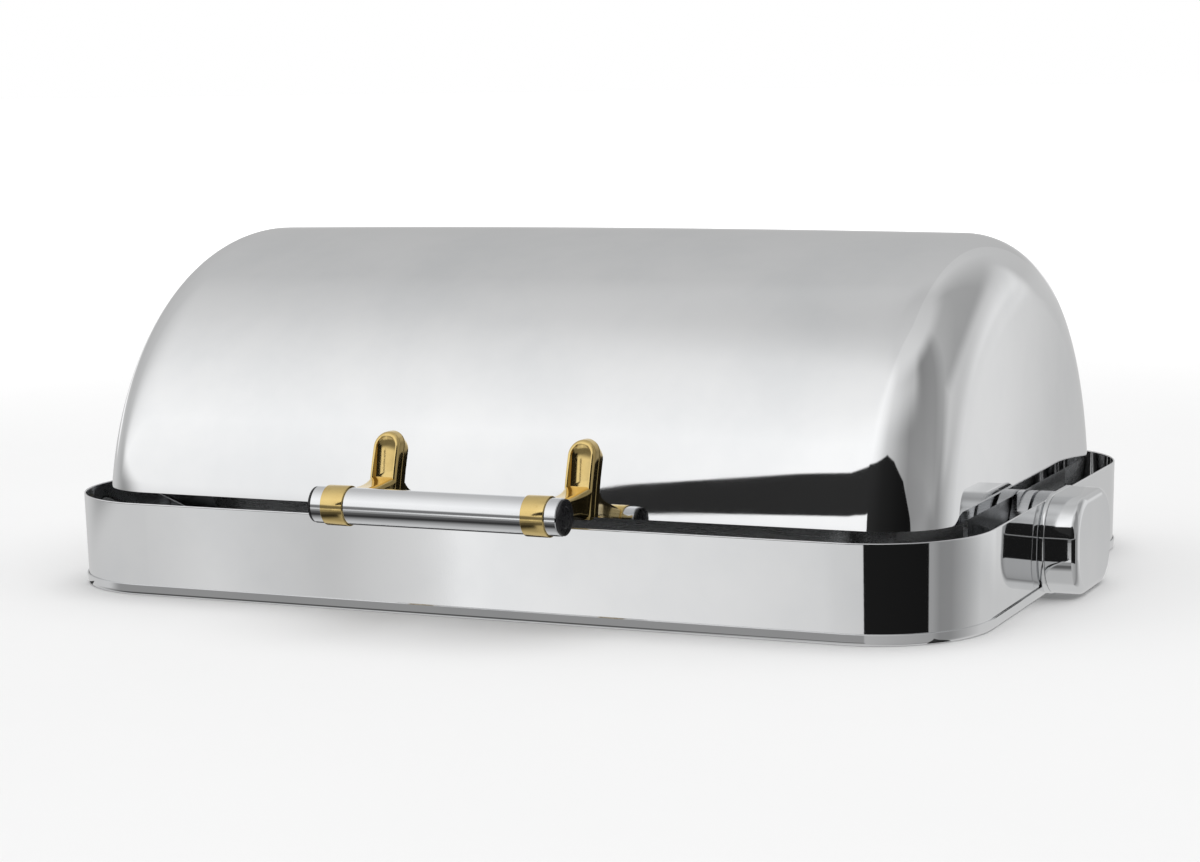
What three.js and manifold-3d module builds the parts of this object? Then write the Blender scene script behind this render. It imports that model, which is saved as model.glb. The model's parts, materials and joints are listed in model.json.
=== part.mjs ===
// Roll-top chafing dish food warmer: a lid that rolls back about two side hinges, over a water pan
// and a food pan that hang inside a low, round-cornered frame. Millimetres, +Z up, front towards -Y,
// hinge axis along X.
import * as THREE from 'three';
import { mergeVertices } from 'three/addons/utils/BufferGeometryUtils.js';
import Module from 'manifold-3d';

const wasm = await Module();
wasm.setup();

// ---------------------------------------------------------------- driving dimensions
const GAP = 0.3; // clearance left between pieces that touch on the real object

const frame = { length: 660, width: 451, height: 63.7, corner: 76.3, wall: 1.2, taper: 1.35 };
const rim = { height: 7.3, wall: 1.0, floor: 1.5, ledge: 10, edgeRound: 1.6 };

// Along X, from the pans outwards: pan carrier, spigot end, lid disc, washer, hub flange, band wall.
const hinge = {
  z: 35.4, openDeg: 150, spigotR: 13, discR: 30,
  carrierX0: 300.9, carrierX1: 303.9, spigotX0: 304.2, discX0: 304.5, discX1: 315.8, flangeX1: 327.2,
};
const pivot = { shankR: 6, holeR: 6.4, hex: 19, headX: 293, tipX: 350, nut: 10 };
const bush = { outerR: 15.7 };
const washer = { outerR: 18.4, thick: 1 };
const stop = { r: 2.5, radius: 21.5, angle: THREE.MathUtils.degToRad(195), x0: 306, x1: 324 };
stop.y = stop.radius * Math.cos(stop.angle);
stop.z = hinge.z + stop.radius * Math.sin(stop.angle);
const key = { r: 1.6, offset: 9.6, x0: 301.2, x1: 312 };
const arm = { footHalf: 25, topHalf: 18, topZ: 125, x0: 305.2, x1: 308.7 };
const carrier = { halfTop: 120, halfFoot: 30, footZ: 14, ledgeZ: 64.4, ledgeX: 272, sheet: 3 };
const lid = { radius: 204.3, crown: 2.3, endX: 310, sheet: 1.0, filletX: 48, filletR: 43.7, edgeZ: 67.1 };

const cover = { halfY: 46, halfZ: 32.8, corner: 27, z: 33.6, depth: 22.2, wall: 2.2, edge: 5 };
const plate = { thick: 3, lip: 0.5 };
const coverScrew = { y: 38, shankR: 2, holeR: 2.3, headR: 3.6, headX: 324.6, boss: 4.4 };

const bar = { radius: 12, wall: 1.5, halfLength: 87, y: -262, z: 76.7 };
const endPlug = { discR: 11.6, disc: 1.5, depth: 11 };
const bracket = { x: 71, width: 19.5, topZ: 116, footZ: 66, thick: 7.2, ringR: 13.1, ringLength: 16 };
const bracketArm = { half: 7.8, rootY: -207, backY: -150, topZ: 84, footZ: 70, sweep: 6 };
const handleScrew = { shankR: 2.5, holeR: 2.8, headR: 4.5, tipR: 209.5, heights: [104, 76] };

const waterPan = { length: 570, width: 360, corner: 22, flangeZ: 64.7, sheet: 1.0, depth: 60 };
const waterWell = { length: 510, width: 305, corner: 40, draft: 6 };
const foodPan = { length: 530, width: 325, corner: 34, sheet: 1.0, depth: 40 };
const foodWell = { length: 498, width: 293, corner: 36, draft: 6 };

// The front reaches to the handle and the rear to the frame, so the resting box's middle lies
// in front of the hinge axis. The whole assembly moves back by that much.
const frontReach = -bar.y + bracket.ringR;
const middleY = (frontReach - frame.width / 2) / 2;

// ---------------------------------------------------------------- materials
const finish = (color, roughness, metalness) =>
  new THREE.MeshStandardMaterial({ color, roughness, metalness });
const polishedSteel = finish(0xd6d8da, 0.08, 1);
const brushedSteel = finish(0xb4b6b8, 0.35, 1);
const zincSteel = finish(0x9a9c9e, 0.4, 1);
const brass = finish(0xc79a45, 0.15, 1);
const blackPlastic = finish(0x1a1a1c, 0.4, 0);
const nylon = finish(0xe8e6dd, 0.5, 0);

// ---------------------------------------------------------------- solids and booleans
function solid(geometry) {
  const bare = geometry.clone();
  bare.deleteAttribute('normal');
  bare.deleteAttribute('uv');
  const merged = mergeVertices(bare, 1e-4);
  return new wasm.Manifold(new wasm.Mesh({
    numProp: 3,
    vertProperties: new Float32Array(merged.attributes.position.array),
    triVerts: new Uint32Array(merged.index.array),
  }));
}

function geometryOf(body) {
  const mesh = body.getMesh();
  const geometry = new THREE.BufferGeometry();
  geometry.setAttribute('position', new THREE.BufferAttribute(new Float32Array(mesh.vertProperties), 3));
  geometry.setIndex(new THREE.BufferAttribute(new Uint32Array(mesh.triVerts), 1));
  geometry.computeVertexNormals();
  return geometry;
}

const assembly = new THREE.Group();
assembly.position.y = middleY;

function add(name, body, material) {
  const mesh = new THREE.Mesh(geometryOf(body), material);
  mesh.name = name;
  assembly.add(mesh);
}

// ---------------------------------------------------------------- shapes
function roundRect(length, width, corner) {
  const x = length / 2 - corner;
  const y = width / 2 - corner;
  const shape = new THREE.Shape();
  shape.absarc(x, y, corner, 0, Math.PI / 2);
  shape.absarc(-x, y, corner, Math.PI / 2, Math.PI);
  shape.absarc(-x, -y, corner, Math.PI, 1.5 * Math.PI);
  shape.absarc(x, -y, corner, 1.5 * Math.PI, 2 * Math.PI);
  shape.closePath();
  return shape;
}

// A prism of an XY outline between two heights.
function prism(shape, z0, z1, curveSegments = 8, bevel = 0) {
  const geometry = new THREE.ExtrudeGeometry(shape, {
    depth: z1 - z0 - 2 * bevel,
    curveSegments,
    bevelEnabled: bevel > 0,
    bevelThickness: bevel,
    bevelSize: bevel,
    bevelOffset: -bevel,
    bevelSegments: 3,
  });
  geometry.translate(0, 0, z0 + bevel);
  return geometry;
}

// The same prism, lying along +X: the outline's x runs along +Y and its y along +Z.
function prismAlongX(shape, x0, x1, curveSegments = 8, bevel = 0) {
  const geometry = prism(shape, x0, x1, curveSegments, bevel);
  geometry.rotateZ(Math.PI / 2);
  geometry.rotateY(Math.PI / 2);
  return geometry;
}

function cylinderAlongX(radius, x0, x1, y, z, segments = 32) {
  const geometry = new THREE.CylinderGeometry(radius, radius, x1 - x0, segments);
  geometry.rotateZ(Math.PI / 2);
  geometry.translate((x0 + x1) / 2, y, z);
  return solid(geometry);
}

// Vertices move inwards towards the foot, as the drawn sides of the frame and pans do.
function drafted(geometry, length, width, draft, zTop, zFoot) {
  const p = geometry.attributes.position;
  for (let i = 0; i < p.count; i++) {
    const share = (zTop - p.getZ(i)) / (zTop - zFoot);
    p.setX(i, p.getX(i) * (1 - (share * draft) / (length / 2)));
    p.setY(i, p.getY(i) * (1 - (share * draft) / (width / 2)));
  }
  return geometry;
}

// ---------------------------------------------------------------- frame
function frameWallSolid(inset, z0, z1) {
  const outline = roundRect(frame.length - 2 * inset, frame.width - 2 * inset, frame.corner - inset);
  const geometry = prism(outline, z0, z1, 9);
  return solid(drafted(geometry, frame.length, frame.width, frame.taper, frame.height, 0));
}

// The band's end walls carry the hinges: a hole for each pivot and two for the cover's screws.
function frameBand() {
  const foot = rim.floor + GAP;
  const outside = frameWallSolid(0, foot, frame.height);
  const inside = frameWallSolid(frame.wall, foot - 1, frame.height + 1);
  const end = frame.length / 2 + 5;
  let wall = outside.subtract(inside);
  wall = wall.subtract(cylinderAlongX(pivot.holeR, -end, end, 0, hinge.z, 24));
  for (const y of [-coverScrew.y, coverScrew.y]) {
    wall = wall.subtract(cylinderAlongX(coverScrew.holeR, -end, end, y, cover.z, 16));
  }
  return wall;
}

// A folded rim: an upright that covers the band's foot, and a ledge turned inwards to stand on.
function baseRim() {
  const { length, width, corner } = frame;
  const ring = (inset, z0, z1, bevel = 0) =>
    solid(prism(roundRect(length - 2 * inset, width - 2 * inset, corner - inset), z0, z1, 9, bevel));
  const aboveRim = new THREE.BoxGeometry(length + 20, width + 20, 40);
  aboveRim.translate(0, 0, rim.height + 20);
  return ring(0, 0, rim.height * 2, rim.edgeRound)
    .subtract(solid(aboveRim))
    .subtract(ring(rim.wall, rim.floor, rim.height + 5))
    .subtract(ring(rim.ledge, -1, rim.height));
}

// ---------------------------------------------------------------- hinges, one on each end
// Each piece is made for the +X end; the -X end gets its mirror image.
const coverOutline = (grow) =>
  roundRect(2 * (cover.halfY + grow), 2 * (cover.halfZ + grow), cover.corner + grow);

const plateX = frame.length / 2 + GAP;
const coverX = plateX + plate.thick + GAP;
const flangeX = hinge.discX1 + GAP + washer.thick + GAP;

function atHinge(geometry, z = hinge.z) {
  geometry.translate(0, 0, z);
  return solid(geometry);
}

function hingePlate() {
  let body = atHinge(prismAlongX(coverOutline(plate.lip), plateX, plateX + plate.thick, 8), cover.z);
  body = body.subtract(cylinderAlongX(pivot.holeR, plateX - 1, coverX, 0, hinge.z, 24));
  for (const y of [-coverScrew.y, coverScrew.y]) {
    body = body.subtract(cylinderAlongX(coverScrew.holeR, plateX - 1, coverX, y, cover.z, 16));
  }
  return body;
}

function hingeCover() {
  const front = coverX + cover.depth;
  const outer = atHinge(prismAlongX(coverOutline(0), coverX - 20, front, 6, cover.edge), cover.z);
  const behind = new THREE.BoxGeometry(40, 200, 200);
  behind.translate(coverX - 20, 0, hinge.z);
  const hollow = atHinge(prismAlongX(coverOutline(-cover.wall), coverX - 5, front - cover.wall, 6), cover.z);
  let body = outer.subtract(solid(behind)).subtract(hollow);
  for (const y of [-coverScrew.y, coverScrew.y]) {
    body = body.add(cylinderAlongX(coverScrew.boss, coverX, front - cover.wall / 2, y, cover.z, 20));
    body = body.subtract(cylinderAlongX(coverScrew.holeR, coverX - 1, coverX + 12, y, cover.z, 16));
  }
  return body;
}

// Round-headed screw along X: the head's outer face at headX, the shank running to +X.
function screwAlongX(headR, headLength, shankR, x0, x1, y, z) {
  return cylinderAlongX(headR, x0, x0 + headLength, y, z, 20)
    .add(cylinderAlongX(shankR, x0 + headLength / 2, x1, y, z, 16));
}

const coverScrewBody = (y) =>
  screwAlongX(coverScrew.headR, 2, coverScrew.shankR, coverScrew.headX, coverX + 11, y, cover.z);

// The fixed hub is bolted to the band's end wall. Its spigot passes through the lid's hinge disc
// and carries the pans on its inner end, so only the lid turns.
function fixedHub() {
  return cylinderAlongX(hinge.discR, flangeX, hinge.flangeX1, 0, hinge.z, 36)
    .add(cylinderAlongX(hinge.spigotR, hinge.spigotX0, flangeX + 1, 0, hinge.z, 32))
    .subtract(cylinderAlongX(pivot.holeR, hinge.spigotX0 - 1, hinge.flangeX1 + 1, 0, hinge.z, 24))
    .subtract(cylinderAlongX(stop.r + GAP, flangeX - 1, stop.x1 + GAP, stop.y, stop.z, 16))
    .subtract(cylinderAlongX(key.r + GAP, hinge.spigotX0 - 1, key.x1 + GAP, 0, hinge.z - key.offset, 16));
}

const stopPin = () => cylinderAlongX(stop.r, stop.x0, stop.x1, stop.y, stop.z, 20);
const keyPin = () => cylinderAlongX(key.r, key.x0, key.x1, 0, hinge.z - key.offset, 16);

const ring = (outerR, innerR, x0, x1, segments) =>
  cylinderAlongX(outerR, x0, x1, 0, hinge.z, segments)
    .subtract(cylinderAlongX(innerR, x0 - 1, x1 + 1, 0, hinge.z, segments));

const hingeBush = () => ring(bush.outerR, hinge.spigotR + GAP, hinge.discX0, hinge.discX1, 32);
const frictionWasher = () => ring(washer.outerR, hinge.spigotR + GAP,
  hinge.discX1 + GAP, hinge.discX1 + GAP + washer.thick, 32);

function hexAlongX(acrossFlats, x0, x1) {
  return cylinderAlongX(acrossFlats / Math.sqrt(3), x0, x1, 0, hinge.z, 6);
}

const pivotBolt = () => hexAlongX(pivot.hex, pivot.headX, hinge.carrierX0 - GAP)
  .add(cylinderAlongX(pivot.shankR, pivot.headX + 2, pivot.tipX, 0, hinge.z, 24));
const pivotNut = () => hexAlongX(pivot.hex, coverX + 1, coverX + 1 + pivot.nut)
  .subtract(cylinderAlongX(pivot.shankR + GAP, coverX, coverX + 20, 0, hinge.z, 24));

// An annular sector about the hinge axis, angles counted from +Y towards +Z.
function sectorSlot(midR, halfWidth, from, to, x0, x1) {
  const shape = new THREE.Shape();
  shape.absarc(0, 0, midR + halfWidth, from, to, false);
  shape.absarc(0, 0, midR - halfWidth, to, from, true);
  shape.closePath();
  return atHinge(prismAlongX(shape, x0, x1, 16));
}

// The lid's hinge arm: a disc that turns on the spigot, and a plate welded inside the lid's end
// wall. The slot in the disc runs against the stop pin at both ends of the lid's travel.
function lidHingeArm() {
  const { footHalf, topHalf, topZ, x0, x1 } = arm;
  const outline = new THREE.Shape();
  outline.moveTo(-footHalf, 0);
  outline.lineTo(footHalf, 0);
  outline.lineTo(topHalf, topZ - topHalf - hinge.z);
  outline.absarc(0, topZ - topHalf - hinge.z, topHalf, 0, Math.PI);
  outline.closePath();
  const margin = THREE.MathUtils.degToRad(1) + (stop.r + GAP) / stop.radius;
  const from = stop.angle - margin;
  const to = stop.angle + THREE.MathUtils.degToRad(hinge.openDeg) + margin;
  return atHinge(prismAlongX(outline, x0, x1, 12))
    .add(cylinderAlongX(hinge.discR, hinge.discX0, hinge.discX1, 0, hinge.z, 36))
    .subtract(cylinderAlongX(bush.outerR + GAP, hinge.discX0 - 1, hinge.discX1 + 1, 0, hinge.z, 32))
    .subtract(sectorSlot(stop.radius, stop.r + GAP, from, to, hinge.discX0 - 1, hinge.discX1 + 1));
}

// The pan carrier: an upright plate keyed to the spigot's end, with a ledge under the pan's flange.
function panCarrier() {
  const { halfTop, halfFoot, footZ, ledgeZ, ledgeX, sheet } = carrier;
  const upright = new THREE.Shape();
  upright.moveTo(-halfTop, ledgeZ - hinge.z);
  upright.lineTo(-halfTop, ledgeZ - hinge.z - 12);
  upright.lineTo(-halfFoot, footZ - hinge.z);
  upright.lineTo(halfFoot, footZ - hinge.z);
  upright.lineTo(halfTop, ledgeZ - hinge.z - 12);
  upright.lineTo(halfTop, ledgeZ - hinge.z);
  upright.closePath();
  const ledge = new THREE.BoxGeometry(hinge.carrierX1 - ledgeX, 2 * halfTop, sheet);
  ledge.translate((hinge.carrierX1 + ledgeX) / 2, 0, ledgeZ - sheet / 2);
  return atHinge(prismAlongX(upright, hinge.carrierX0, hinge.carrierX1))
    .add(solid(ledge))
    .subtract(cylinderAlongX(pivot.holeR, hinge.carrierX0 - 1, hinge.carrierX1 + 1, 0, hinge.z, 24))
    .subtract(cylinderAlongX(key.r + GAP, key.x0 - 1, hinge.carrierX1 + 1, 0, hinge.z - key.offset, 16));
}

// ---------------------------------------------------------------- pans
// A drawn pan: a flat flange with a drafted well. The well's outer corners are rounded.
function pan(flange, well, flangeZ) {
  const { length, width, corner, sheet, depth } = flange;
  const rimPlate = solid(prism(roundRect(length, width, corner), flangeZ, flangeZ + sheet, 6));
  const wellAt = (inset, z0, z1) => {
    const outline = roundRect(well.length - 2 * inset, well.width - 2 * inset, well.corner - inset);
    return solid(drafted(prism(outline, z0, z1, 6), well.length, well.width, well.draft, flangeZ,
      flangeZ - depth));
  };
  return rimPlate
    .add(wellAt(0, flangeZ - depth, flangeZ + sheet / 2))
    .subtract(wellAt(sheet, flangeZ - depth + sheet, flangeZ + sheet + 1));
}

// ---------------------------------------------------------------- lid
// Half of the lid's outline, from the hinge axis out to the middle of the barrel, shrunk by an
// inset for the inner face: flat end wall, elliptical fillet, then a slightly crowned barrel.
function lidSolid(inset) {
  const endX = lid.endX - inset;
  const radius = lid.radius - inset;
  const filletX = lid.filletX - inset;
  const filletR = lid.filletR - inset;
  const half = [[0, endX], [radius - filletR, endX]];
  const filletSteps = 6;
  for (let i = 1; i <= filletSteps; i++) {
    const a = (Math.PI / 2) * (i / filletSteps);
    half.push([radius - filletR + filletR * Math.sin(a), endX - filletX + filletX * Math.cos(a)]);
  }
  const barrelSteps = 3;
  for (let i = 1; i <= barrelSteps; i++) {
    half.push([radius, (endX - filletX) * (1 - i / barrelSteps)]);
  }
  const crowned = half.map(([r, x]) => [r * (1 - (lid.crown / radius) * (x / endX) ** 2), x]);
  const other = crowned.slice(0, -1).reverse().map(([r, x]) => [r, -x]);
  const profile = [...crowned, ...other].reverse().map(([r, x]) => new THREE.Vector2(r, x));
  const geometry = new THREE.LatheGeometry(profile, 60);
  geometry.rotateZ(-Math.PI / 2);
  return atHinge(geometry);
}

function lidShell() {
  const below = new THREE.BoxGeometry(700, 500, 400);
  below.translate(0, 0, lid.edgeZ - 200);
  let shell = lidSolid(0).subtract(lidSolid(lid.sheet)).subtract(solid(below));
  for (const side of [-1, 1]) {
    for (const height of handleScrew.heights) {
      shell = shell.subtract(radialCylinder(handleScrew.holeR, 190, 215, side * bracket.x, height, 16));
    }
  }
  return shell;
}

// A cylinder that points out from the hinge axis through the lid's front at a given height.
function radialCylinder(radius, r0, r1, x, height, segments = 20) {
  const angle = Math.asin((height - hinge.z) / lid.radius);
  const geometry = new THREE.CylinderGeometry(radius, radius, r1 - r0, segments);
  geometry.translate(0, (r0 + r1) / 2, 0);
  geometry.rotateX(Math.PI - angle);
  geometry.translate(x, 0, hinge.z);
  return solid(geometry);
}

// ---------------------------------------------------------------- handle
// A brass bracket: a tongue that follows the lid's curve, an arm and a collar round the bar.
function handleBracket(x) {
  const { width, thick, ringR, ringLength } = bracket;
  const half = width / 2;
  const tongue = new THREE.Shape();
  tongue.moveTo(-half, bracket.footZ);
  tongue.lineTo(half, bracket.footZ);
  tongue.lineTo(half, bracket.topZ - half);
  tongue.absarc(0, bracket.topZ - half, half, 0, Math.PI);
  tongue.closePath();
  const { rootY, backY, topZ, footZ, sweep } = bracketArm;
  const tongueBlock = prism(tongue, 0, 80, 10);
  tongueBlock.rotateX(Math.PI / 2);
  tongueBlock.translate(x, backY, 0);
  const face = lid.radius + GAP;
  const cylinder = (r, span) => cylinderAlongX(r, x - span, x + span, 0, hinge.z, 120);

  // Side view of the arm: its upper edge sweeps up into the tongue, its lower edge sweeps down.
  const armShape = new THREE.Shape();
  armShape.moveTo(bar.y, topZ - 2);
  armShape.lineTo(bar.y, footZ + 2);
  armShape.lineTo(rootY - sweep, footZ);
  armShape.quadraticCurveTo(rootY, footZ, rootY, footZ - sweep / 2);
  armShape.lineTo(backY, footZ - sweep / 2);
  armShape.lineTo(backY, topZ + sweep);
  armShape.lineTo(rootY, topZ + sweep);
  armShape.quadraticCurveTo(rootY, topZ, rootY - sweep, topZ);
  armShape.closePath();
  const armBody = solid(prismAlongX(armShape, x - bracketArm.half, x + bracketArm.half, 8));

  let body = solid(tongueBlock).intersect(cylinder(face + thick, width))
    .add(armBody)
    .add(cylinderAlongX(ringR, x - ringLength / 2, x + ringLength / 2, bar.y, bar.z, 40))
    .subtract(cylinder(face, width))
    .subtract(cylinderAlongX(bar.radius + GAP, x - 20, x + 20, bar.y, bar.z, 40));
  for (const height of handleScrew.heights) {
    body = body.subtract(radialCylinder(handleScrew.holeR, 190, handleScrew.tipR + GAP, x, height, 16));
  }
  return body;
}

function handleScrewBody(x, height) {
  const inner = lid.radius - lid.sheet - 2.5 * GAP;
  return radialCylinder(handleScrew.headR, inner - 2.6, inner, x, height, 20)
    .add(radialCylinder(handleScrew.shankR, inner - 1, handleScrew.tipR, x, height, 16));
}

function handleTube() {
  const { radius, wall, halfLength, y, z } = bar;
  return cylinderAlongX(radius, -halfLength, halfLength, y, z, 40)
    .subtract(cylinderAlongX(radius - wall, -halfLength - 1, halfLength + 1, y, z, 40));
}

function endCap() {
  const x0 = bar.halfLength + GAP;
  return cylinderAlongX(endPlug.discR, x0, x0 + endPlug.disc, bar.y, bar.z, 40)
    .add(cylinderAlongX(bar.radius - bar.wall - GAP, x0 - endPlug.depth, x0 + 0.5, bar.y, bar.z, 40));
}

// ---------------------------------------------------------------- assembly
add('frame_band', frameBand(), polishedSteel);
add('base_rim', baseRim(), polishedSteel);
add('water_pan', pan(waterPan, waterWell, waterPan.flangeZ), brushedSteel);
add('food_pan', pan(foodPan, foodWell, waterPan.flangeZ + waterPan.sheet + GAP), brushedSteel);

const hingePieces = [
  ['hinge_plate', hingePlate(), polishedSteel],
  ['hinge_cover', hingeCover(), polishedSteel],
  ['cover_screw_front', coverScrewBody(-coverScrew.y), zincSteel],
  ['cover_screw_rear', coverScrewBody(coverScrew.y), zincSteel],
  ['fixed_hub', fixedHub(), brushedSteel],
  ['stop_pin', stopPin(), zincSteel],
  ['key_pin', keyPin(), zincSteel],
  ['hinge_bush', hingeBush(), nylon],
  ['friction_washer', frictionWasher(), nylon],
  ['pivot_bolt', pivotBolt(), zincSteel],
  ['pivot_nut', pivotNut(), zincSteel],
  ['pan_carrier', panCarrier(), brushedSteel],
  ['lid_hinge_arm', lidHingeArm(), brushedSteel],
  ['handle_end_cap', endCap(), blackPlastic],
];
for (const [name, body, material] of hingePieces) {
  add(`${name}_right`, body, material);
  add(`${name}_left`, body.mirror([1, 0, 0]), material);
}

add('lid_shell', lidShell(), polishedSteel);
add('handle_tube', handleTube(), polishedSteel);
for (const [side, x] of [['left', -bracket.x], ['right', bracket.x]]) {
  add(`handle_bracket_${side}`, handleBracket(x), brass);
  handleScrew.heights.forEach((height, i) => {
    const level = i === 0 ? 'upper' : 'lower';
    add(`handle_screw_${level}_${side}`, handleScrewBody(x, height), zincSteel);
  });
}

export default assembly;
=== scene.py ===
import json
import math

import bpy
import bmesh
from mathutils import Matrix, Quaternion, Vector


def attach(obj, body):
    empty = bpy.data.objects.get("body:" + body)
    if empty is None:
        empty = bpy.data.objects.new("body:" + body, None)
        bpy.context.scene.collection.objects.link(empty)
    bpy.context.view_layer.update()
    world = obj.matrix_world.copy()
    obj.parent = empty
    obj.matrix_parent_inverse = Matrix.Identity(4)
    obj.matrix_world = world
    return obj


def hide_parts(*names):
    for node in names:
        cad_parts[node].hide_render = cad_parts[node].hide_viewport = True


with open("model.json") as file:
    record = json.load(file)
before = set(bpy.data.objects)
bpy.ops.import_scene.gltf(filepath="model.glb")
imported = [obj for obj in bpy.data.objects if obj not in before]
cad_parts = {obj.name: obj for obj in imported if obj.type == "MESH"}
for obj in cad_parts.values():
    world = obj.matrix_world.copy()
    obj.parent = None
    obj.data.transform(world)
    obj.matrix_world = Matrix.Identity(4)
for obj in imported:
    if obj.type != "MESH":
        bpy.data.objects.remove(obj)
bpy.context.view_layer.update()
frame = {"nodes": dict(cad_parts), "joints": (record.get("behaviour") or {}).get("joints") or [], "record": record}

MM = 0.001
PI = math.pi

# ------------------------------------------------------------------ sizes shared with the CAD model
LID_JOINT = next(j for j in frame["joints"] if j["name"] == "lid_roll")
HINGE_Y = LID_JOINT["pos_m"][1]
HINGE_Z = LID_JOINT["pos_m"][2]
NODE_SLOT = {s["node"]: s["material_slot"] for s in frame["record"]["subparts"]}
NODE_BODY = {n: b for b, nodes in frame["record"]["behaviour"]["bodies"].items() for n in nodes}

FRAME_LENGTH = 660 * MM
FRAME_WIDTH = 451 * MM
FRAME_TOP = 63.7 * MM
FRAME_CORNER = 76.3 * MM
FRAME_TAPER = 1.35 * MM
FRAME_SHEET = 1.2 * MM
RIM_TOP = 7.3 * MM
RIM_FLOOR = 1.5 * MM
RIM_LEDGE = 10 * MM
RIM_WALL = 1.0 * MM
GAP = 0.3 * MM

LID_RADIUS = 204.3 * MM
LID_END = 310 * MM
LID_CROWN = 2.3 * MM
LID_SHEET = 1.0 * MM
LID_EDGE_Z = 67.1 * MM
LID_FILLET_X = 48 * MM
LID_FILLET_R = 43.7 * MM
LID_DOME = 0.8 * MM

BAR_RADIUS = 12 * MM
BAR_HALF = 87 * MM
BAR_Y = HINGE_Y - 262 * MM
BAR_Z = 76.7 * MM
BRACKET_X = 71 * MM


# ------------------------------------------------------------------ mesh helpers
def new_object(name, verts, faces):
    mesh = bpy.data.meshes.new(name)
    mesh.from_pydata([tuple(v) for v in verts], [], faces)
    mesh.validate()
    obj = bpy.data.objects.new(name, mesh)
    bpy.context.collection.objects.link(obj)
    return obj


def smooth(obj, angle_deg=30):
    """Outward normals, shaded smooth, with edges sharper than the angle kept sharp."""
    bm = bmesh.new()
    bm.from_mesh(obj.data)
    bmesh.ops.remove_doubles(bm, verts=bm.verts, dist=1e-6)
    bmesh.ops.recalc_face_normals(bm, faces=bm.faces)
    for face in bm.faces:
        face.smooth = True
    limit = math.radians(angle_deg)
    for edge in bm.edges:
        edge.smooth = len(edge.link_faces) == 2 and edge.calc_face_angle() < limit
    bm.to_mesh(obj.data)
    bm.free()
    return obj


def apply_modifiers(obj):
    """Bakes the object's modifiers into its mesh."""
    graph = bpy.context.evaluated_depsgraph_get()
    mesh = bpy.data.meshes.new_from_object(obj.evaluated_get(graph))
    obj.modifiers.clear()
    obj.data = mesh
    return obj


def grid_faces(rows, cols, wrap_rows, wrap_cols):
    faces = []
    for i in range(rows if wrap_rows else rows - 1):
        for j in range(cols if wrap_cols else cols - 1):
            a, b = i * cols + j, i * cols + (j + 1) % cols
            c, d = ((i + 1) % rows) * cols + (j + 1) % cols, ((i + 1) % rows) * cols + j
            faces.append((a, b, c, d))
    return faces


def loft(name, rings, close_loop=False, caps=(True, True)):
    """A skin over closed rings of points. The ends are capped by one face each, or the last ring
    joins the first."""
    cols = len(rings[0])
    verts = [p for ring in rings for p in ring]
    faces = grid_faces(len(rings), cols, close_loop, True)
    if not close_loop and caps[0]:
        faces.append(tuple(range(cols))[::-1])
    if not close_loop and caps[1]:
        start = (len(rings) - 1) * cols
        faces.append(tuple(range(start, start + cols)))
    return new_object(name, verts, faces)


def rounded_rect(length, width, corner, arc_steps=14, side_steps=6):
    """Points and outward normals of a rounded rectangle, anticlockwise, about the origin. The sides
    have a point close to each end, so that the round corners don't bend their shading."""
    out = []
    cx, cy = length / 2 - corner, width / 2 - corner
    centres = [(cx, cy), (-cx, cy), (-cx, -cy), (cx, -cy)]
    for k, (x0, y0) in enumerate(centres):
        for i in range(arc_steps + 1):
            a = k * PI / 2 + (PI / 2) * i / arc_steps
            out.append((x0 + corner * math.cos(a), y0 + corner * math.sin(a), math.cos(a), math.sin(a)))
        x1, y1 = centres[(k + 1) % 4]
        nx, ny = out[-1][2], out[-1][3]
        near_end = 0.02
        for t in [near_end] + [i / side_steps for i in range(1, side_steps)] + [1 - near_end]:
            x = x0 + (x1 - x0) * t + corner * nx
            y = y0 + (y1 - y0) * t + corner * ny
            out.append((x, y, nx, ny))
    return out


def swept_band(name, outline, section):
    """A closed section of (offset outwards, height), swept round an outline centred on the frame."""
    rings = []
    for offset, z in section:
        rings.append([(x + nx * offset, HINGE_Y + y + ny * offset, z) for x, y, nx, ny in outline])
    return loft(name, rings, close_loop=True)


def lathe_x(name, profile, y, z, steps=72):
    """A solid turned about a line along X. The profile is (x, radius), closed on itself or on the axis."""
    on_axis = profile[0][1] == 0
    body = profile[1:-1] if on_axis else profile
    rings = []
    for x, r in body:
        rings.append([(x, y + r * math.cos(2 * PI * i / steps), z + r * math.sin(2 * PI * i / steps))
                      for i in range(steps)])
    return loft(name, rings, close_loop=not on_axis)


def arc(cx, cy, r, start_deg, end_deg, steps):
    """Points of a circular arc, both ends included."""
    span = end_deg - start_deg
    return [(cx + r * math.cos(math.radians(start_deg + span * i / steps)),
             cy + r * math.sin(math.radians(start_deg + span * i / steps))) for i in range(steps + 1)]


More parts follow.
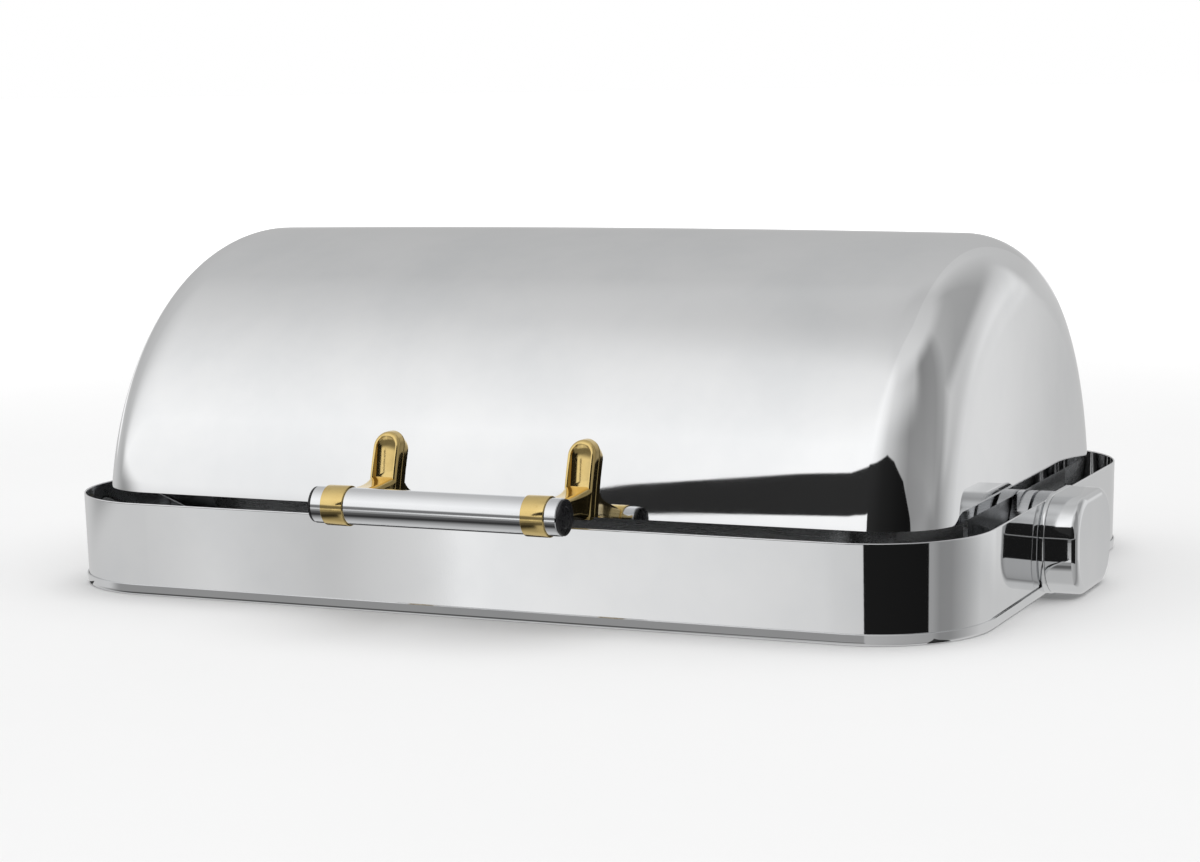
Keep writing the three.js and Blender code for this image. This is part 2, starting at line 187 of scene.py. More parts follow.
# ------------------------------------------------------------------ material helpers
class Nodes:
    """A short way to write a node tree: n.math('ADD', a, b) returns the node's output."""

    def __init__(self, tree):
        self.tree = tree
        tree.nodes.clear()

    def node(self, kind, **settings):
        made = self.tree.nodes.new(kind)
        for key, value in settings.items():
            setattr(made, key, value)
        return made

    def put(self, value, socket):
        if isinstance(value, bpy.types.NodeSocket):
            self.tree.links.new(value, socket)
        else:
            socket.default_value = value

    def math(self, operation, a, b=0.0, c=0.0):
        made = self.node("ShaderNodeMath", operation=operation)
        for value, socket in zip((a, b, c), made.inputs):
            self.put(value, socket)
        return made.outputs[0]

    def step(self, value, low, high, to_low=0.0, to_high=1.0):
        """A smooth step from low to high."""
        made = self.node("ShaderNodeMapRange", interpolation_type="SMOOTHSTEP")
        for item, socket in zip((value, low, high, to_low, to_high), made.inputs):
            self.put(item, socket)
        return made.outputs[0]

    def window(self, value, rise_from, rise_to, fall_from, fall_to):
        """One between the rise and the fall, nought outside."""
        rise = self.step(value, rise_from, rise_to)
        return self.math("MULTIPLY", rise, self.step(value, fall_from, fall_to, 1.0, 0.0))

    def mix(self, factor, a, b):
        made = self.node("ShaderNodeMix", data_type="FLOAT")
        for item, socket in zip((factor, a, b), (made.inputs[0], made.inputs[2], made.inputs[3])):
            self.put(item, socket)
        return made.outputs[0]

    def ramp(self, value, *stops):
        """A piecewise level: each stop is (value, level), in rising order."""
        low, high = stops[0][0], stops[-1][0]
        made = self.node("ShaderNodeValToRGB")
        share = self.math("DIVIDE", self.math("SUBTRACT", value, low), high - low)
        self.put(share, made.inputs[0])
        band = made.color_ramp
        band.elements.remove(band.elements[1])
        for i, (at, level) in enumerate(stops):
            stop = band.elements[0] if i == 0 else band.elements.new(1.0)
            stop.position = (at - low) / (high - low)
            stop.color = (level, level, level, 1)
        return made.outputs[0]

    def noise(self, vector, scale, detail=3.0, rough=0.5):
        made = self.node("ShaderNodeTexNoise")
        self.put(vector, made.inputs["Vector"])
        made.inputs["Scale"].default_value = scale
        made.inputs["Detail"].default_value = detail
        made.inputs["Roughness"].default_value = rough
        return made.outputs["Fac"]

    def stretch(self, vector, factors):
        made = self.node("ShaderNodeMapping")
        self.put(vector, made.inputs["Vector"])
        made.inputs["Scale"].default_value = factors
        return made.outputs[0]

    def bump(self, height, distance, strength=1.0, normal=None):
        made = self.node("ShaderNodeBump")
        made.inputs["Strength"].default_value = strength
        made.inputs["Distance"].default_value = distance
        self.put(height, made.inputs["Height"])
        if normal:
            self.put(normal, made.inputs["Normal"])
        return made.outputs[0]

    def blend(self, factor, colour_a, colour_b):
        made = self.node("ShaderNodeMix", data_type="RGBA")
        self.put(factor, made.inputs[0])
        made.inputs[6].default_value = (*colour_a, 1)
        made.inputs[7].default_value = (*colour_b, 1)
        return made.outputs[2]


def material(name, build):
    """A Principled material. build(n, shader, place) fills its sockets."""
    made = bpy.data.materials.new(name)
    made.use_nodes = True
    n = Nodes(made.node_tree)
    out = n.node("ShaderNodeOutputMaterial")
    shader = n.node("ShaderNodeBsdfPrincipled")
    n.tree.links.new(shader.outputs[0], out.inputs[0])
    place = n.node("ShaderNodeTexCoord").outputs["Object"]
    build(n, shader, place)
    return made


def mirror_metal(base, tint, rough, smudge, wave):
    """Polished metal: faint smudges in tone and gloss, and the slight waviness of drawn sheet."""
    def build(n, shader, place):
        film = n.noise(place, 9, 4, 0.6)
        haze = n.noise(place, 60, 3, 0.5)
        n.put(n.blend(n.step(film, 0.35, 0.75), base, tint), shader.inputs["Base Color"])
        shader.inputs["Metallic"].default_value = 1.0
        gloss = n.math("ADD", n.math("MULTIPLY", n.step(film, 0.45, 0.8), smudge),
                       n.math("MULTIPLY", haze, smudge * 0.6))
        n.put(n.math("ADD", gloss, rough), shader.inputs["Roughness"])
        sheet = n.bump(n.noise(place, 14, 1, 0.4), wave)
        n.put(n.bump(n.noise(place, 900, 2, 0.5), 0.0000015, 1.0, sheet), shader.inputs["Normal"])
    return build


def satin_metal(base, tint, rough, along=(1.0, 30.0, 30.0)):
    """Drawn, lightly brushed metal: fine lines along one direction."""
    def build(n, shader, place):
        lines = n.noise(n.stretch(place, along), 40, 5, 0.6)
        film = n.noise(place, 12, 4, 0.6)
        n.put(n.blend(n.math("ADD", n.math("MULTIPLY", lines, 0.6), n.math("MULTIPLY", film, 0.4)),
                      base, tint), shader.inputs["Base Color"])
        shader.inputs["Metallic"].default_value = 1.0
        n.put(n.math("ADD", n.math("MULTIPLY", lines, 0.16), rough), shader.inputs["Roughness"])
        n.put(n.bump(lines, 0.000012), shader.inputs["Normal"])
    return build


def cast_brass(n, shader, place):
    """Polished brass casting: warm tone shifts, a little tarnish, soft casting ripple."""
    tone = n.noise(place, 45, 4, 0.6)
    tarnish = n.step(n.noise(place, 130, 5, 0.65), 0.55, 0.8)
    warm = n.blend(tone, (0.70, 0.50, 0.18), (0.86, 0.67, 0.30))
    mix = n.node("ShaderNodeMix", data_type="RGBA", blend_type="MULTIPLY")
    n.put(n.math("MULTIPLY", tarnish, 0.35), mix.inputs[0])
    n.put(warm, mix.inputs[6])
    mix.inputs[7].default_value = (0.60, 0.44, 0.24, 1)
    n.put(mix.outputs[2], shader.inputs["Base Color"])
    shader.inputs["Metallic"].default_value = 1.0
    n.put(n.math("ADD", n.math("MULTIPLY", tone, 0.08), 0.07), shader.inputs["Roughness"])
    n.put(n.bump(n.noise(place, 70, 2, 0.5), 0.00008), shader.inputs["Normal"])


def moulded_black(n, shader, place):
    """Black moulded plastic: fine grain and a faint dusty bloom."""
    bloom = n.step(n.noise(place, 90, 4, 0.6), 0.4, 0.8)
    n.put(n.blend(bloom, (0.010, 0.010, 0.011), (0.028, 0.028, 0.030)), shader.inputs["Base Color"])
    n.put(n.math("ADD", n.math("MULTIPLY", bloom, 0.18), 0.26), shader.inputs["Roughness"])
    n.put(n.bump(n.noise(place, 1600, 2, 0.5), 0.00001), shader.inputs["Normal"])


def natural_nylon(n, shader, place):
    """Natural nylon: milky, with a faint mottle."""
    mottle = n.noise(place, 110, 4, 0.6)
    n.put(n.blend(mottle, (0.72, 0.70, 0.64), (0.86, 0.85, 0.80)), shader.inputs["Base Color"])
    shader.inputs["Subsurface Weight"].default_value = 0.1
    n.put(n.math("ADD", n.math("MULTIPLY", mottle, 0.2), 0.35), shader.inputs["Roughness"])
    n.put(n.bump(mottle, 0.00002), shader.inputs["Normal"])


POLISHED = material("polished_steel", mirror_metal((0.86, 0.865, 0.87), (0.80, 0.81, 0.82), 0.02, 0.03,
                                                    0.00004))
CHROME = material("bar_chrome", mirror_metal((0.84, 0.85, 0.86), (0.78, 0.79, 0.81), 0.05, 0.04, 0.00002))
SATIN = material("satin_steel", satin_metal((0.70, 0.71, 0.72), (0.56, 0.57, 0.59), 0.20))
ZINC = material("zinc_steel", satin_metal((0.62, 0.62, 0.63), (0.48, 0.48, 0.47), 0.28, (20.0, 20.0, 20.0)))
BRASS = material("polished_brass", cast_brass)
BLACK = material("black_plastic", moulded_black)
NYLON = material("natural_nylon", natural_nylon)
SLOT_MATERIAL = {"polished_steel": POLISHED, "satin_steel": SATIN, "zinc_steel": ZINC, "brass": BRASS,
                 "black_plastic": BLACK, "nylon": NYLON}


def stands_for(obj, *nodes, look=None):
    """The piece takes the CAD nodes' place, body and slot."""
    obj.data.materials.clear()
    obj.data.materials.append(look or SLOT_MATERIAL[NODE_SLOT[nodes[0]]])
    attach(obj, NODE_BODY[nodes[0]])
    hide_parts(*nodes)
    return obj


def softened(node, width):
    """A copy of a CAD node's mesh with its sharp edges eased, for pieces whose shape is already right."""
    obj = new_object(f"{node}_eased", [], [])
    bm = bmesh.new()
    bm.from_mesh(frame["nodes"][node].data)
    bmesh.ops.remove_doubles(bm, verts=bm.verts, dist=1e-6)
    bmesh.ops.dissolve_limit(bm, angle_limit=math.radians(1), verts=bm.verts, edges=bm.edges)
    bm.to_mesh(obj.data)
    bm.free()
    bevel = obj.modifiers.new("ease", "BEVEL")
    bevel.width = width
    bevel.segments = 2
    bevel.limit_method = "ANGLE"
    bevel.angle_limit = math.radians(40)
    apply_modifiers(obj)
    smooth(obj, 35)
    return stands_for(obj, node)


# ------------------------------------------------------------------ frame band and base rim
def make_frame_band():
    """The frame's sheet wall with its rounded top edge. It leans in towards the foot."""
    outline = rounded_rect(FRAME_LENGTH, FRAME_WIDTH, FRAME_CORNER, 24, 8)
    foot = RIM_FLOOR + GAP
    lip = FRAME_SHEET / 2

    def lean(z):
        return -FRAME_TAPER * (FRAME_TOP - z) / FRAME_TOP
    heights = [foot + (FRAME_TOP - lip - foot) * t for t in (0, 0.02, 0.25, 0.5, 0.75, 0.98, 0.995, 1)]
    section = [(lean(z), z) for z in heights]
    section += [(-lip + x, FRAME_TOP - lip + z) for x, z in arc(0, 0, lip, 18, 162, 6)]
    section += [(lean(z) - FRAME_SHEET, z) for z in reversed(heights)]
    band = smooth(swept_band("frame_band_sheet", outline, section), 50)
    return stands_for(band, "frame_band")


def make_base_rim():
    """The folded rim at the frame's foot: an upright face that leans in below, and a ledge inside."""
    outline = rounded_rect(FRAME_LENGTH, FRAME_WIDTH, FRAME_CORNER, 24, 8)
    round_out = 2.4 * MM
    ease = 0.25 * MM
    section = [(-x_in, z) for x_in, z in ((RIM_WALL - ease, RIM_TOP), (ease, RIM_TOP))]
    face = RIM_TOP - ease - round_out
    slant = face * math.tan(math.radians(5.5))
    section += [(-slant * t, RIM_TOP - ease - face * t) for t in (0, 0.06, 0.5, 0.94)]
    section += [(-slant - round_out + x, round_out + z) for x, z in arc(0, 0, round_out, 0, -90, 6)]
    section += [(-RIM_LEDGE + ease, 0), (-RIM_LEDGE, ease), (-RIM_LEDGE, RIM_FLOOR)]
    section += [(-RIM_WALL - ease, RIM_FLOOR), (-RIM_WALL, RIM_FLOOR + ease), (-RIM_WALL, RIM_TOP - ease)]
    rim = smooth(swept_band("base_rim_fold", outline, section), 50)
    return stands_for(rim, "base_rim")


# ------------------------------------------------------------------ lid
def lid_profile():
    """(radius, x) from the hinge side of the +X end wall, round the fillet, along the barrel to -X.
    The end wall is slightly domed, and the fillet starts at the wall's slope."""
    flat_steps, fillet_steps, barrel_steps = 22, 20, 24
    low = (LID_EDGE_Z - HINGE_Z) * 1.0005
    flat_top = LID_RADIUS - LID_FILLET_R
    start = math.atan(2 * LID_DOME / flat_top * LID_FILLET_R / LID_FILLET_X)
    meet = flat_top + LID_FILLET_R * math.sin(start)
    half = []
    for i in range(flat_steps):
        r = low + (meet - low) * i / flat_steps
        half.append((r, LID_END - LID_DOME * (r / flat_top) ** 2))
    barrel = LID_END - LID_FILLET_X
    for i in range(fillet_steps):
        a = start + (PI / 2 - start) * i / fillet_steps
        half.append((flat_top + LID_FILLET_R * math.sin(a), barrel + (LID_FILLET_X - LID_DOME) * math.cos(a)))
    for i in range(barrel_steps):
        half.append((LID_RADIUS, barrel * (1 - i / barrel_steps)))
    full = half + [(LID_RADIUS, 0.0)] + [(r, -x) for r, x in reversed(half)]
    return [(r * (1 - LID_CROWN / LID_RADIUS * (x / LID_END) ** 2), x) for r, x in full]


def make_lid():
    """The lid's profile turned about the hinge line, as far as its level lower edge on both sides."""
    arc_steps = 96
    verts = []
    profile = lid_profile()
    for r, x in profile:
        start = math.asin(min(1.0, (LID_EDGE_Z - HINGE_Z) / r))
        for i in range(arc_steps + 1):
            a = start + (PI - 2 * start) * i / arc_steps
            verts.append((x, HINGE_Y - r * math.cos(a), HINGE_Z + r * math.sin(a)))
    lid = new_object("lid_barrel", verts, grid_faces(len(profile), arc_steps + 1, False, False))
    smooth(lid, 60)
    if lid.data.polygons[len(lid.data.polygons) // 2].normal.z < 0:
        lid.data.flip_normals()
    shell = lid.modifiers.new("sheet", "SOLIDIFY")
    shell.thickness = LID_SHEET
    shell.offset = -1
    shell.use_even_offset = True
    apply_modifiers(lid)
    smooth(lid, 60)
    return stands_for(lid, "lid_shell")


# ------------------------------------------------------------------ hinge covers and plates
COVER_HALF_Y = 46 * MM
COVER_HALF_Z = 32.8 * MM
COVER_CORNER = 27 * MM
COVER_Z = 33.6 * MM
COVER_BACK = FRAME_LENGTH / 2 + 3.6 * MM
COVER_DEPTH = 22.2 * MM


def cover_ring(x, inset, side):
    """The cover's outline, drawn in all round by the inset, at a distance from the middle."""
    width, tall = 2 * (COVER_HALF_Y - inset), 2 * (COVER_HALF_Z - inset)
    outline = rounded_rect(width, tall, COVER_CORNER - inset, 20, 6)
    return [(side * x, HINGE_Y + u, COVER_Z + v) for u, v, _, _ in outline]


def make_cover(side, name):
    """A hollow cover with a rounded outer edge, open towards the frame."""
    edge = 5 * MM
    wall = 2.2 * MM
    front = COVER_BACK + COVER_DEPTH
    rings = [cover_ring(front - wall, wall, side), cover_ring(COVER_BACK, wall, side),
             cover_ring(COVER_BACK, 0.2 * MM, side), cover_ring(COVER_BACK + 0.2 * MM, 0, side)]
    rings.append(cover_ring((COVER_BACK + front - edge) / 2, 0, side))
    for x, y in arc(0, 0, edge, 0, 90, 10):
        rings.append(cover_ring(front - edge + y, edge - x, side))
    rings.append(cover_ring(front, edge + 0.6 * MM, side))
    cover = smooth(loft(f"{name}_shell", rings), 40)
    return stands_for(cover, name)


def make_plate(side, name):
    """The cover's back plate. Its rear follows the lean of the frame's end wall."""
    lip = 0.5 * MM
    seat = 0.1 * MM
    back = FRAME_LENGTH / 2 + seat
    front = COVER_BACK - seat
    ease = 0.7 * MM

    def leaning(ring):
        return [(x - side * FRAME_TAPER * max(0.0, FRAME_TOP - z) / FRAME_TOP, y, z) for x, y, z in ring]
    rings = [leaning(cover_ring(back, -lip + ease, side)), leaning(cover_ring(back + ease, -lip, side))]
    for x, y in arc(0, 0, ease, 0, 90, 4):
        rings.append(cover_ring(front - ease + y, -lip + ease - x, side))
    plate = smooth(loft(f"{name}_bead", rings), 40)
    return stands_for(plate, name)


# ------------------------------------------------------------------ hub halves
def make_hub(side, name):
    """The fixed half of the round hub: a flange outside and a thinner spigot inside, bored through."""
    flange_r, spigot_r, bore_r = 30 * MM, 13 * MM, 6.4 * MM
    inner, face, outer = 304.2 * MM, 317.4 * MM, 327.2 * MM
    ease = 0.8 * MM
    profile = [(inner, bore_r), (inner, spigot_r - ease), (inner + ease, spigot_r), (face, spigot_r),
               (face, flange_r - ease), (face + ease, flange_r), (outer - ease, flange_r),
               (outer, flange_r - ease), (outer, bore_r)]
    hub = lathe_x(f"{name}_turned", [(side * x, r) for x, r in profile], HINGE_Y, HINGE_Z)
    return stands_for(smooth(hub, 30), name)


# ------------------------------------------------------------------ handle
def make_bar():
    wall = 1.5 * MM
    ease = 0.5 * MM
    half = [(BAR_HALF - ease, BAR_RADIUS), (BAR_HALF, BAR_RADIUS - ease),
            (BAR_HALF, BAR_RADIUS - wall)]
    profile = [(-x, r) for x, r in half] + [(x, r) for x, r in reversed(half)]
    bar = smooth(lathe_x("handle_bar", profile, BAR_Y, BAR_Z, 96), 30)
    return stands_for(bar, "handle_tube", look=CHROME)


def make_end_cap(side, name):
    radius, thick, plug_r, plug = 11.6 * MM, 1.5 * MM, 10.2 * MM, 10.7 * MM
    start = BAR_HALF + GAP
    ease = 0.5 * MM
    dish = 0.3 * MM
    profile = [(start - plug, 0), (start - plug, plug_r - ease), (start - plug + ease, plug_r)]
    profile += [(start, plug_r), (start, radius)]
    profile += [(start + thick - ease + y, radius - ease + x) for x, y in arc(0, 0, ease, 0, 90, 4)]
    profile += [(start + thick, radius * 0.6), (start + thick - dish, radius * 0.56),
                (start + thick - dish, 0.5 * MM), (start + thick - dish, 0)]
    cap = lathe_x(f"{name}_disc", [(side * x, r) for x, r in profile], BAR_Y, BAR_Z)
    return stands_for(smooth(cap, 30), name)


BRACKET_THICK = 7.2 * MM
BRACKET_HALF = 9.75 * MM
BRACKET_FOOT = 66 * MM
BRACKET_TOP = 116 * MM
RECESS_FOOT = 85 * MM


def on_lid(x, z, lift):
    """A point ahead of the lid's front at a height, lifted off the lid along its radius."""
    radius = LID_RADIUS + GAP + lift
    return (x, HINGE_Y - math.sqrt(radius ** 2 - (z - HINGE_Z) ** 2), z)


def tongue_outline(inset, foot, steps=16):
    """Round-topped outline in (across, height), anticlockwise, with a square foot."""
    half = BRACKET_HALF - inset
    top = BRACKET_TOP - BRACKET_HALF
    heights = [foot + inset + (top - foot - inset) * i / 8 for i in range(8)]
    points = [(half, z) for z in heights]
    points += [(x, top + y) for x, y in arc(0, 0, half, 0, 180, steps)]
    return points + [(-half, z) for z in reversed(heights)]


def make_tongue(x0, name):
    """The tongue on the lid, with a raised rounded rim round a flat recess that is deeper at its foot."""
    ease, rim = 2.0 * MM, 2.9 * MM
    levels = [(0.3 * MM, 0.0), (0.0, 0.3 * MM), (0.0, BRACKET_THICK * 0.4)]
    levels += [(ease - cx, BRACKET_THICK - ease + cy) for cx, cy in arc(0, 0, ease, 0, 84, 7)]
    rings = [[on_lid(x0 + u, z, lift) for u, z in tongue_outline(inset, BRACKET_FOOT)]
             for inset, lift in levels]
    brink = rim - 0.4 * MM
    rings.append([on_lid(x0 + u, z, BRACKET_THICK - 0.1 * MM)
                  for u, z in tongue_outline(brink, RECESS_FOOT - brink)])
    tilt = math.tan(math.radians(10))
    brow = BRACKET_TOP - rim
    brow_y = on_lid(0, brow, BRACKET_THICK - 0.4 * MM)[1]
    for inset, proud in ((rim, 0.25 * MM), (rim + 0.5 * MM, 0.0)):
        rings.append([(x0 + u, brow_y - (brow - z) * tilt - proud, z)
                      for u, z in tongue_outline(inset, RECESS_FOOT - brink)])
    return loft(f"{name}_tongue", rings)


def make_arm(x0, name):
    """Round-cornered sections from the collar to the tongue's foot, flaring at the root."""
    collar_back, root = BAR_Y + 11.6 * MM, HINGE_Y - 202 * MM
    sections = 18
    rings = []
    for i in range(sections + 1):
        t = i / sections
        y = collar_back + (root - collar_back) * t
        flare = min(1.0, max(0.0, (t - 0.4) / 0.52)) ** 2.4
        half_z = (7.0 + 3.6 * flare) * MM
        half_x = (7.2 + 2.5 * flare) * MM
        middle = (77.0 - 1.0 * flare) * MM
        outline = rounded_rect(2 * half_x, 2 * half_z, 3.0 * MM, 5, 3)
        rings.append([(x0 + u, y, middle + v) for u, v, _, _ in outline])
    return loft(f"{name}_arm", rings)


def make_collar(x0, name):
    ring_r, bore_r, half_ring, ease = 13.1 * MM, 12.2 * MM, 8.0 * MM, 0.45 * MM
    side = [(half_ring, bore_r)] + [(half_ring - ease + y, ring_r - ease + x)
                                    for x, y in reversed(arc(0, 0, ease, 0, 90, 4))]
    profile = [(x0 + x, r) for x, r in side] + [(x0 - x, r) for x, r in reversed(side)]
    return lathe_x(f"{name}_collar", profile, BAR_Y, BAR_Z, 96)


def make_bracket(x0, name):
    for piece in (make_tongue(x0, name), make_arm(x0, name), make_collar(x0, name)):
        smooth(piece, 38)
        stands_for(piece, name)


# ------------------------------------------------------------------ pans
def make_pan(name, flange, well, top, depth, bottom_round):
    """A drawn pan from its rolled rim inwards: flange, drafted well, round bottom edge, flat floor."""
    length, width, corner = flange
    well_length, well_width, well_corner = well
    sheet = 1.0 * MM
    draft = 6 * MM

    def ring(long, wide, round_by, z):
        return [(x, HINGE_Y + y, z) for x, y, _, _ in rounded_rect(long, wide, round_by, 12, 6)]
    lip, roll = 0.6 * MM, 0.4 * MM
    rings = [ring(length, width, corner, top - lip),
             ring(length - 2 * roll, width - 2 * roll, corner - roll, top)]
    mouth = 2.0 * MM
    for x, y in arc(0, 0, mouth, 90, 0, 6):
        grow = 2 * (mouth - x)
        rings.append(ring(well_length + grow, well_width + grow, well_corner + grow / 2, top - mouth + y))
    wall_steps = 5
    for i in range(1, wall_steps + 1):
        t = i / wall_steps
        shrink = 2 * draft * t
        drop = (depth - mouth - bottom_round) * t
        rings.append(ring(well_length - shrink, well_width - shrink, well_corner, top - mouth - drop))
    foot_length, foot_width = well_length - 2 * draft, well_width - 2 * draft
    for x, y in arc(0, 0, bottom_round, 0, -90, 8)[1:]:
        shrink = 2 * (bottom_round - x)
        height = top - depth + bottom_round + y
        rings.append(ring(foot_length - shrink, foot_width - shrink, well_corner, height))
    inner = 0.6
    rings.append(ring(foot_length * inner, foot_width * inner, well_corner * inner, top - depth))
    pan = loft(f"{name}_drawn", rings, caps=(False, True))
    smooth(pan, 50)
    middle = min(pan.data.polygons, key=lambda f: (f.center - Vector((0, HINGE_Y, top - depth))).length)
    if middle.normal.z < 0:
        pan.data.flip_normals()
    shell = pan.modifiers.new("sheet", "SOLIDIFY")
    shell.thickness = sheet * 0.9
    shell.offset = -1
    apply_modifiers(pan)
    smooth(pan, 50)
    return stands_for(pan, name)


# ------------------------------------------------------------------ build the object
make_frame_band()
make_base_rim()
make_lid()
make_bar()
for side, label in ((1, "right"), (-1, "left")):
    make_cover(side, f"hinge_cover_{label}")
    make_plate(side, f"hinge_plate_{label}")
    make_hub(side, f"fixed_hub_{label}")
    make_end_cap(side, f"handle_end_cap_{label}")
    make_bracket(side * BRACKET_X, f"handle_bracket_{label}")
    softened(f"lid_hinge_arm_{label}", 0.6 * MM)
    softened(f"pan_carrier_{label}", 0.5 * MM)
make_pan("water_pan", flange=(570 * MM, 360 * MM, 22 * MM), well=(510 * MM, 305 * MM, 40 * MM),
         top=65.7 * MM, depth=61 * MM, bottom_round=12 * MM)
make_pan("food_pan", flange=(530 * MM, 325 * MM, 34 * MM), well=(498 * MM, 293 * MM, 36 * MM),
         top=67.0 * MM, depth=41 * MM, bottom_round=12 * MM)

# Every CAD node takes a better material. Those that nothing replaces keep their own mesh.
for node, obj in frame["nodes"].items():
    look = SLOT_MATERIAL[NODE_SLOT[node]]
    if obj.material_slots:
        for slot in obj.material_slots:
            slot.material = look
    else:
        obj.data.materials.append(look)


# ------------------------------------------------------------------ floor
def make_floor():
    """Pale paper that glows a little far away, where it goes over into white."""
    size = 30.0
    obj = new_object("studio_floor", [(-size, -size, 0), (size, -size, 0), (size, size, 0), (-size, size, 0)],
                     [(0, 1, 2, 3)])

    def build(n, shader, place):
        spots = n.noise(place, 3, 4, 0.6)
        n.put(n.blend(spots, (0.90, 0.90, 0.90), (0.92, 0.92, 0.92)), shader.inputs["Base Color"])
        shader.inputs["Roughness"].default_value = 0.8
        shader.inputs["Specular IOR Level"].default_value = 0.1
        shader.inputs["Emission Color"].default_value = (1, 1, 1, 1)
        parts = n.node("ShaderNodeSeparateXYZ")
        n.put(place, parts.inputs[0])
        reach = n.math("SQRT", n.math("ADD", n.math("MULTIPLY", parts.outputs[0], parts.outputs[0]),
                                      n.math("MULTIPLY", parts.outputs[1], parts.outputs[1])))
        n.put(n.step(reach, 0.7, 4.0, 0.0, 0.6), shader.inputs["Emission Strength"])
    obj.data.materials.append(material("floor_paper", build))
    obj.visible_glossy = False


def make_dark_well():
    """Painted shade: a dark sheet standing in for the shaded floor inside the frame, seen only in the metal above
    it.
    """
    half_x, half_y, z = 0.315, 0.205, 0.5 * MM
    corners = [(sx * half_x, HINGE_Y + sy * half_y, z) for sx, sy in ((-1, -1), (1, -1), (1, 1), (-1, 1))]
    obj = new_object("painted_shade_floor", corners, [(0, 1, 2, 3)])

    def build(n, shader, place):
        # Painted shade: near-black paper colour in place of the shade that falls inside the frame.
        n.put(n.blend(n.noise(place, 6), (0.02, 0.02, 0.02), (0.05, 0.05, 0.05)), shader.inputs["Base Color"])
        shader.inputs["Roughness"].default_value = 0.9
    obj.data.materials.append(material("painted_shade_paper", build))
    obj.visible_camera = False
    obj.visible_diffuse = False
    obj.visible_shadow = False


# ------------------------------------------------------------------ studio surroundings
# Polished metal shows only what is round it, so the room is drawn here: a light level for each
# direction. Angles are in degrees, and azimuth runs from the front (-Y) towards +X. The levels are
# linear light, set until the metal's tones came close to the photo's in the photo's view.
def upper_room(n, azimuth, height, roll):
    """Above the horizon: a tall soft panel in front that fades over the top to a greyer room."""
    level = n.ramp(roll, (0, 0.98), (25, 1.04), (40, 1.08), (65, 0.93), (90, 0.73), (115, 0.59),
                   (155, 0.53), (180, 0.49))
    level = n.math("MULTIPLY", level, n.step(azimuth, -28.0, -17.0, 0.985, 1.07))
    dim = n.ramp(azimuth, (-16, 0.0), (-7, 0.15), (5, 0.41), (28, 0.64), (43, 0.75), (67, 0.71), (85, 0.64),
                 (99, 0.40), (145, 0.37), (172, 0.0))
    ease = n.math("MULTIPLY", n.step(height, 38.0, 60.0, 0.0, 0.42), n.step(azimuth, 45.0, 65.0, 1.0, 0.0))
    dim = n.math("MULTIPLY", dim, n.math("SUBTRACT", 1.0, ease))
    dim = n.mix(n.step(height, 62.0, 76.0), dim, 0.16)
    gate = n.math("MAXIMUM", n.step(azimuth, 95.0, 108.0, 1.0, 0.0), n.step(height, 22.0, 36.0))
    level = n.math("MULTIPLY", level, n.math("SUBTRACT", 1.0, n.math("MULTIPLY", dim, gate)))
    side = n.window(azimuth, 112.0, 150.0, 160.0, 165.5)
    side = n.math("MULTIPLY", side, n.step(height, 4.0, 32.0, 1.0, 0.0))
    return n.mix(side, level, 0.85)


def lower_room(n, x, azimuth, height):
    """Below the horizon: a bright band of floor in front with darker floor above and below it, and a
    plainer grey floor to the right and at the back."""
    left = n.ramp(height, (-90, 0.42), (-60, 0.36), (-53, 0.18), (-47, 0.04), (-41, 0.04), (-34, 0.10),
                  (-27, 0.12), (-25, 0.30), (-17, 0.30))
    right = n.ramp(height, (-90, 0.50), (-44, 0.50), (-33, 0.12), (-27, 0.12), (-25, 0.30), (-17, 0.30))
    front = n.mix(n.step(x, -0.41, -0.32), left, right)
    glow = n.ramp(azimuth, (-34.1, 0.64), (-32.6, 0.73), (-30.2, 0.58), (-28.4, 0.72), (-27.9, 0.80),
                  (-27.5, 0.96), (-25.0, 0.86), (-22.3, 0.81), (-20.3, 0.75), (-18.0, 0.70), (5.0, 0.66))
    front = n.mix(n.window(height, -18.0, -16.5, -10.6, -9.6), front, glow)
    front = n.mix(n.step(height, -10.2, -9.4), front, 0.20)
    low = n.ramp(azimuth, (4, 0.46), (66, 0.36), (72, 0.35), (80, 0.26), (93, 0.27), (112, 0.41),
                 (135, 0.60), (180, 0.60))
    near = n.ramp(azimuth, (4, 0.46), (66, 0.36), (80, 0.27), (95, 0.30), (120, 0.60), (140, 0.76),
                  (163.2, 0.77), (164.4, 0.68), (165.8, 0.57), (180, 0.60))
    beside = n.mix(n.step(height, -11.8, -10.0), low, near)
    level = n.mix(n.step(azimuth, 4.0, 6.0), front, beside)
    return n.mix(n.step(azimuth, -120.0, -60.0), 0.60, level)


def dark_flags(n, azimuth, height):
    """A black flag in front, above a bright strip, and a second one low to the front right."""
    top = n.ramp(azimuth, (-26, 11), (-25.1, 15.7), (-24.4, 19), (-21, 26.5), (-17, 31.5), (-8, 33), (8, 36),
                 (20, 33), (36, 24), (48, 10), (53, 0))
    bottom = n.ramp(azimuth, (-25, 8.5), (-17, 13), (-13, 14), (-12, 0))
    above = n.math("MULTIPLY", n.window(azimuth, -25.2, -24.9, 50.0, 54.0),
                   n.step(n.math("SUBTRACT", height, top), -0.5, 0.5, 1.0, 0.0))
    above = n.math("MULTIPLY", above, n.step(n.math("SUBTRACT", height, bottom), -0.4, 0.4))
    below = n.math("MULTIPLY", n.window(azimuth, 4.8, 5.4, 67.6, 68.4), n.step(height, -18.6, -17.6))
    return n.mix(n.step(height, -3.0, 0.0), below, above)


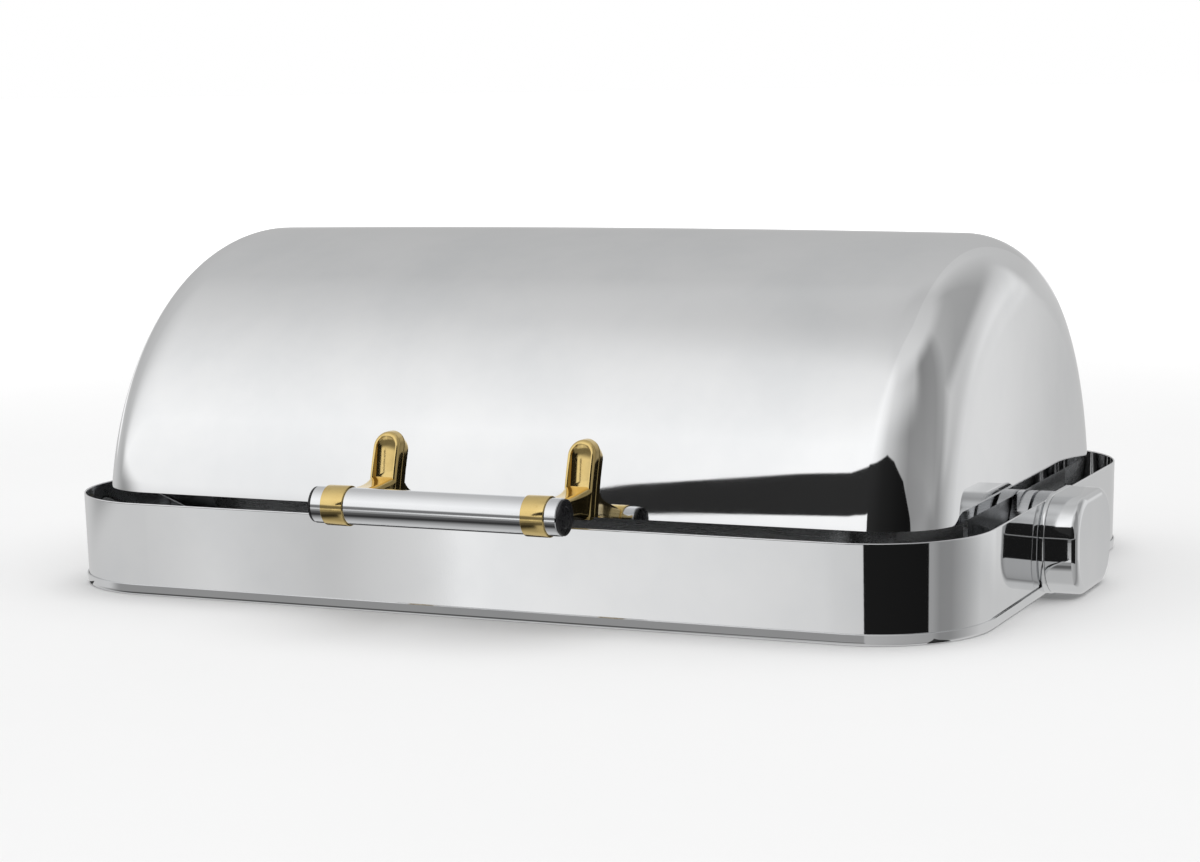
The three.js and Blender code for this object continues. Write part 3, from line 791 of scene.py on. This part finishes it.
def make_world():
    """The studio as a level for each direction: azimuth from the front towards +X, height above the
    horizon, and roll from the front over the top to the back."""
    world = bpy.data.worlds.new("studio")
    bpy.context.scene.world = world
    world.use_nodes = True
    n = Nodes(world.node_tree)
    out = n.node("ShaderNodeOutputWorld")
    back = n.node("ShaderNodeBackground")
    n.tree.links.new(back.outputs[0], out.inputs[0])
    parts = n.node("ShaderNodeSeparateXYZ")
    n.put(n.node("ShaderNodeTexCoord").outputs["Generated"], parts.inputs[0])
    x, y, z = parts.outputs
    front = n.math("MULTIPLY", y, -1.0)
    degrees = 180 / PI
    roll = n.math("MULTIPLY", n.math("ARCTAN2", z, front), degrees)
    azimuth = n.math("MULTIPLY", n.math("ARCTAN2", x, front), degrees)
    height = n.math("MULTIPLY", n.math("ARCSINE", z), degrees)

    upper = upper_room(n, azimuth, height, roll)
    lower = lower_room(n, x, azimuth, height)
    level = n.mix(n.step(height, 1.0, 10.0), lower, upper)
    flag_depth = 0.975
    flags = n.math("MULTIPLY", dark_flags(n, azimuth, height), flag_depth)
    level = n.math("MULTIPLY", level, n.math("SUBTRACT", 1.0, flags))
    # White behind the floor's far edge, on the side that the picture looks towards.
    beyond = n.math("MULTIPLY", n.step(front, -0.5, -0.4, 1.0, 0.0), n.step(x, -0.15, -0.05, 1.0, 0.0))
    level = n.mix(n.math("MULTIPLY", n.window(height, -2.0, -1.4, 1.7, 2.3), beyond), level, 1.0)
    n.put(level, back.inputs["Color"])
    back.inputs["Strength"].default_value = 1.0


def make_key_light():
    """A wide soft light from above. It doesn't show in the metal."""
    light = bpy.data.lights.new("overhead_softbox", "SUN")
    light.energy = 1.5
    light.angle = math.radians(70)
    obj = bpy.data.objects.new("overhead_softbox", light)
    obj.rotation_euler = (math.radians(-12), math.radians(10), 0)
    obj.visible_glossy = False
    bpy.context.collection.objects.link(obj)


def make_camera():
    """The photo's view, from the front right and a little above."""
    azimuth, elevation, roll = math.radians(24.308), math.radians(7.503), math.radians(-1.061)
    distance = 2.00425
    back = Vector((math.sin(azimuth) * math.cos(elevation), -math.cos(azimuth) * math.cos(elevation),
                   math.sin(elevation)))
    target = Vector((-5.226 * MM, HINGE_Y, 93.93 * MM))
    data = bpy.data.cameras.new("camera")
    data.sensor_width = 36.0
    data.lens = 83.796
    obj = bpy.data.objects.new("camera", data)
    bpy.context.collection.objects.link(obj)
    obj.location = target + back * distance
    obj.rotation_mode = "QUATERNION"
    obj.rotation_quaternion = (-back).to_track_quat("-Z", "Y") @ Quaternion((0, 0, 1), roll)
    bpy.context.scene.camera = obj


make_floor()
make_dark_well()
make_world()
make_key_light()
make_camera()
bpy.context.scene.view_settings.view_transform = "Standard"
